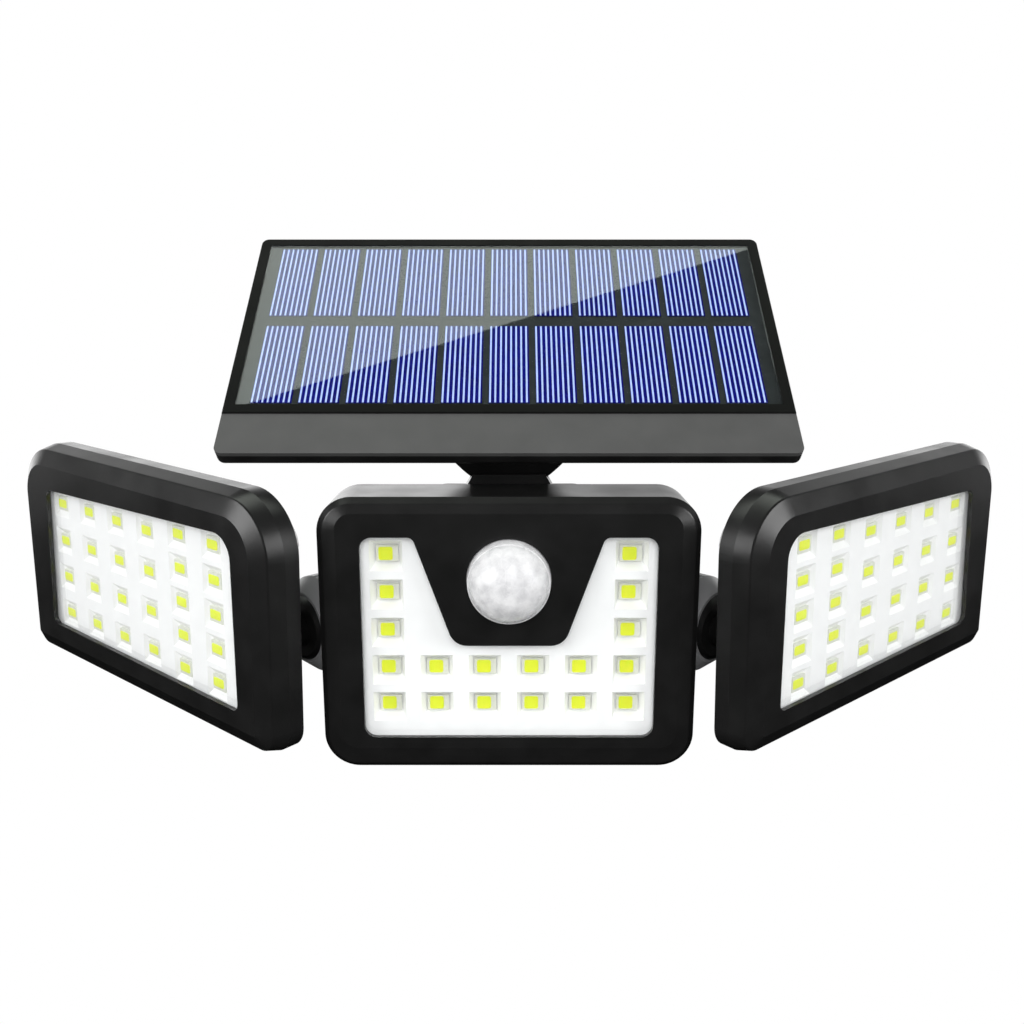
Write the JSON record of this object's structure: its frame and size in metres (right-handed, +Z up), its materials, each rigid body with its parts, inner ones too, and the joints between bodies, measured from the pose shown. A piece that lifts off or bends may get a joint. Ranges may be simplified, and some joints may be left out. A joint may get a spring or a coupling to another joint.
{
  "type": "solar motion security light",
  "caption": "Wall-mounted solar security light: a centre head with a motion sensor dome, swivelling side heads on ball joints and a tilting solar panel on a short neck.",
  "frame": {"origin": "centre of the wall plate, on its back face", "axes": "+Z up, the lights face -Y, +Y points into the wall, +X is to the right as seen from the front"},
  "size_m": [0.357, 0.1395, 0.1655],
  "materials": {
    "housing_black": "finely textured moulding",
    "nut_grey": "satin moulding",
    "silicone": "matt",
    "button_rubber": "matt",
    "clear_lens": "clear polished",
    "white_reflector": "satin white",
    "led_board": "white solder mask",
    "led_phosphor": "yellow phosphor",
    "pir_white": "satin milky",
    "sensor_can": "drawn can",
    "steel": "zinc plated",
    "cell_wrap": "shrink sleeve",
    "inner_black": "moulded",
    "board_green": "solder mask",
    "panel_sheet": "clear polished",
    "solar_cell": "polished silicon",
    "backing_dark": "printed sheet",
    "deck_grey": "satin moulding"
  },
  "bodies": {
    "fixture": {"battery_cell": "cell_wrap", "battery_cradle": "inner_black", "bracket_screws": "steel", "button_seal": "silicone", "centre_bezel": "housing_black", "centre_bezel_screws": "steel", "centre_gasket": "silicone", "centre_housing": "housing_black", "centre_led_board": "led_board", "centre_leds": "led_phosphor", "centre_lens": "clear_lens", "centre_reflector": "white_reflector", "control_board": "board_green", "left_ring_nut": "nut_grey", "pir_lens": "pir_white", "pir_sensor": "sensor_can", "rear_cover": "housing_black", "rear_cover_screws": "steel", "right_ring_nut": "nut_grey", "wall_bracket": "housing_black"},
    "left_seat": {"left_liner": "silicone"},
    "left_head": {"left_ball_stem": "housing_black", "left_bezel": "housing_black", "left_bezel_screws": "steel", "left_gasket": "silicone", "left_led_board": "led_board", "left_leds": "led_phosphor", "left_lens": "clear_lens", "left_reflector": "white_reflector", "left_shell": "housing_black", "left_stem_nut": "steel"},
    "right_seat": {"right_liner": "silicone"},
    "right_head": {"right_ball_stem": "housing_black", "right_bezel": "housing_black", "right_bezel_screws": "steel", "right_gasket": "silicone", "right_led_board": "led_board", "right_leds": "led_phosphor", "right_lens": "clear_lens", "right_reflector": "white_reflector", "right_shell": "housing_black", "right_stem_nut": "steel"},
    "panel": {"hinge_bolt": "steel", "hinge_nut": "steel", "panel_backing": "backing_dark", "panel_bracket": "housing_black", "panel_bracket_screws": "steel", "panel_cover_sheet": "panel_sheet", "panel_deck": "deck_grey", "panel_deck_screws": "steel", "panel_frame": "housing_black", "panel_tray": "housing_black", "solar_cells": "solar_cell"},
    "button": {"mode_button": "button_rubber"}
  },
  "joints": [
    {"name": "left_head_pan", "type": "hinge", "parent": "fixture", "child": "left_seat", "pos_m": [-0.0611, -0.1023, 0.0085], "axis": [0, 0, -1], "range_deg": [-3, 18]},
    {"name": "left_head_tilt", "type": "hinge", "parent": "left_seat", "child": "left_head", "pos_m": [-0.0611, -0.1023, 0.0085], "axis": [0.78, -0.6249, -0.0332], "range_deg": [-8, 15]},
    {"name": "right_head_pan", "type": "hinge", "parent": "fixture", "child": "right_seat", "pos_m": [0.0611, -0.1023, 0.0085], "axis": [0, 0, 1], "range_deg": [-3, 18]},
    {"name": "right_head_tilt", "type": "hinge", "parent": "right_seat", "child": "right_head", "pos_m": [0.0611, -0.1023, 0.0085], "axis": [0.78, 0.6249, 0.0332], "range_deg": [-8, 15]},
    {"name": "panel_tilt", "type": "hinge", "parent": "fixture", "child": "panel", "pos_m": [0, -0.094, 0.0598], "axis": [1, 0, 0], "range_deg": [-40, 2]},
    {"name": "mode_button_press", "type": "slide", "parent": "fixture", "child": "button", "axis": [0, -1, 0], "range_m": [0, 0.001], "stiffness_N_per_m": 1500, "springref_m": -0.0002}
  ]
}
